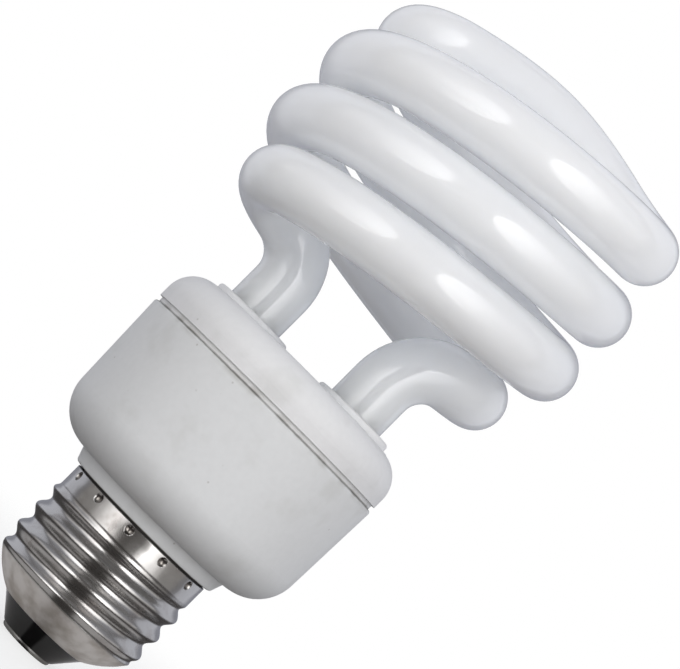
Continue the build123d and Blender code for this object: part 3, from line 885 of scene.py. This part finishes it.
@dataclass
class Studio:
    """Pale floor, white surroundings, soft lamps and the camera at the photograph's angle.

    Lengths are in millimetres. A pair of numbers is the range of a direction's X, Y or Z over which one
    colour of the room changes to the next.
    """

    camera_distance: float = 370.0
    camera_nearest: float = 3.7
    camera_height: float = 41.45
    aim_x: float = 0.6
    aim_z: float = 63.05
    field: float = 97.8
    roll: float = 45.0
    sensor: float = 36.0
    floor_size: float = 1300.0
    floor_colour: str = "#F4F4F4"
    table_colour: str = "#656260"
    mat_colour: str = "#EEECE9"
    mat_r: float = 22.0
    mat_fade: float = 8.0
    shadow_share: float = 0.3
    floor_clear: float = 40.0
    floor_end: float = 200.0
    sides: str = "#F4F4F6"
    above: str = "#A6A7AD"
    above_z: tuple[float, float] = (0.15, 0.7)
    below: str = "#ABA9A7"
    below_z: tuple[float, float] = (0.0, 0.4)
    front: str = "#5A5754"
    front_y: tuple[float, float] = (-0.5, -0.2)
    front_x: tuple[float, float] = (0.2, 0.32)
    edge: str = "#86868A"
    edge_y: tuple[float, float] = (0.05, 0.2)
    back: str = "#E0E3EC"
    back_y: tuple[float, float] = (0.26, 0.32)
    core: str = "#989AA4"
    core_y: tuple[float, float] = (0.78, 0.88)

    def softboxes(self) -> list[Softbox]:
        """The lamps of the studio."""
        return [
            Softbox("left_softbox", azimuth=-42.0, brightness=2.25, near_share=0.02),
            Softbox("right_softbox", azimuth=42.0, brightness=2.9, far_share=0.02),
        ]

    def build(self) -> None:
        """Make the whole studio."""
        scene = bpy.context.scene
        scene.view_settings.view_transform = "Standard"
        middle = (cad_box[0] + cad_box[1]) / 2
        for lamp in self.softboxes():
            lamp.build(middle)
        self.surroundings()
        self.floor()
        self.camera()

    def surroundings(self) -> None:
        """White behind the object for the camera, and the room round it for light and reflections.

        The room is pale at the sides, greyer overhead and over the table, and dim in a band where the
        camera stands. The backdrop is pale with darker edges and a dim middle, which draw thin outlines on
        the glass.
        """
        world = bpy.data.worlds.new("studio")
        bpy.context.scene.world = world
        world.use_nodes = True
        tree = world.node_tree
        tree.nodes.clear()
        rays = add_node(tree, "ShaderNodeLightPath").outputs
        direction = add_node(tree, "ShaderNodeTexCoord").outputs["Generated"]
        parts = add_node(tree, "ShaderNodeSeparateXYZ", {0: direction}).outputs
        upper = Finish.ramp(tree, parts["Z"], *self.above_z)
        lower = Finish.ramp(tree, parts["Z"], *self.below_z, 1.0, 0.0)
        beside = Finish.ramp(tree, parts["Y"], *self.edge_y)
        behind = Finish.ramp(tree, parts["Y"], *self.back_y)
        middle = Finish.ramp(tree, parts["Y"], *self.core_y)
        room = Finish.blend(tree, upper, self.sides, self.above)
        room = Finish.blend(tree, lower, room, self.below)
        room = Finish.blend(tree, self.ahead(tree, direction), room, self.front)
        room = Finish.blend(tree, beside, room, self.edge)
        room = Finish.blend(tree, behind, room, self.back)
        room = Finish.blend(tree, middle, room, self.core)
        around = add_node(tree, "ShaderNodeBackground", {"Color": room}).outputs[0]
        backdrop = add_node(tree, "ShaderNodeBackground", {"Color": linear("#FFFFFF")}).outputs[0]
        seen = reckon(tree, "MAXIMUM", rays["Is Camera Ray"], rays["Is Transmission Ray"])
        whole = add_node(tree, "ShaderNodeMixShader", {0: seen, 1: around, 2: backdrop}).outputs[0]
        add_node(tree, "ShaderNodeOutputWorld", {"Surface": whole})

    def ahead(self, tree: bpy.types.NodeTree, direction: bpy.types.NodeSocket) -> bpy.types.NodeSocket:
        """Upright band in front of the lamp, where the camera stands.

        Args:
            tree: Node tree of the room or the floor.
            direction: Unit vector away from the lamp.

        Returns:
            One inside the band, zero outside it.
        """
        parts = add_node(tree, "ShaderNodeSeparateXYZ", {0: direction}).outputs
        facing = Finish.ramp(tree, parts["Y"], *self.front_y, 1.0, 0.0)
        narrow = Finish.ramp(tree, reckon(tree, "ABSOLUTE", parts["X"]), *self.front_x, 1.0, 0.0)
        return reckon(tree, "MULTIPLY", facing, narrow)

    def floor(self) -> None:
        """Pale floor under the lamp that fades into the white around it and keeps the lamp's shadow."""
        half = self.floor_size / 2 * MM
        mesh = bpy.data.meshes.new("floor")
        corners = [(-half, -half, 0.0), (half, -half, 0.0), (half, half, 0.0), (-half, half, 0.0)]
        mesh.from_pydata(corners, [], [(0, 1, 2, 3)])
        made = bpy.data.objects.new("floor", mesh)
        made.location.z = cad_box[0].z
        bpy.context.scene.collection.objects.link(made)
        mesh.materials.append(self.floor_material())

    def floor_material(self) -> bpy.types.Material:
        """Build the floor's material.

        Returns:
            A dark table with a pale mat under the cap, and the camera's shadow painted as a dim band across
            both. The camera itself sees white paper with a light shadow, clear further out.
        """
        made = bpy.data.materials.new("pale_floor")
        made.use_nodes = True
        tree = made.node_tree
        tree.nodes.clear()
        place = add_node(tree, "ShaderNodeTexCoord").outputs["Object"]
        out = add_node(tree, "ShaderNodeVectorMath", {0: place}, operation="LENGTH").outputs["Value"]
        fade = Finish.ramp(tree, out, self.floor_clear * MM, self.floor_end * MM)
        clear = add_node(tree, "ShaderNodeBsdfTransparent").outputs[0]
        pale = add_node(tree, "ShaderNodeBsdfDiffuse", {"Color": linear(self.floor_colour)}).outputs[0]
        paper = add_node(tree, "ShaderNodeMixShader", {0: self.shadow_share, 1: clear, 2: pale}).outputs[0]
        beyond = Finish.ramp(tree, out, self.mat_r * MM, (self.mat_r + self.mat_fade) * MM)
        ground = Finish.blend(tree, beyond, self.mat_colour, self.table_colour)
        direction = add_node(tree, "ShaderNodeVectorMath", {0: place}, operation="NORMALIZE").outputs[0]
        # Painted shadow: the camera's shadow on the table and mat, as a dim band towards the camera.
        ground = Finish.blend(tree, self.ahead(tree, direction), ground, self.front)
        table = add_node(tree, "ShaderNodeBsdfDiffuse", {"Color": ground}).outputs[0]
        seen = add_node(tree, "ShaderNodeLightPath").outputs["Is Camera Ray"]
        near = add_node(tree, "ShaderNodeMixShader", {0: seen, 1: table, 2: paper}).outputs[0]
        mix = add_node(tree, "ShaderNodeMixShader", {0: fade, 1: near, 2: clear}).outputs[0]
        add_node(tree, "ShaderNodeOutputMaterial", {"Surface": mix})
        return made

    def camera(self) -> None:
        """Level camera in front of the lamp, turned so that the lamp leans as in the photograph."""
        view = bpy.data.cameras.new("photo_camera")
        place = Vector((0.0, -self.camera_distance, self.camera_height)) * MM
        aim = Vector((self.aim_x, 0.0, self.aim_z)) * MM
        view.sensor_width = self.sensor
        view.lens = self.sensor * (aim - place).length / (self.field * MM)
        view.clip_start = self.camera_nearest * MM
        made = bpy.data.objects.new("photo_camera", view)
        made.location = place
        made.rotation_mode = "QUATERNION"
        turned = Matrix.Rotation(math.radians(self.roll), 3, "Z").to_quaternion()
        made.rotation_quaternion = (aim - place).to_track_quat("-Z", "Y") @ turned
        bpy.context.scene.collection.objects.link(made)
        bpy.context.scene.camera = made


def main() -> None:
    """Build the lamp's pieces in order, then the studio round them."""
    logging.basicConfig(level=logging.INFO, format="%(name)s: %(message)s")
    ScrewCap().dress()
    BallastHousing().dress()
    SpiralTube().build()
    Studio().build()


if __name__ == "__main__":
    main()
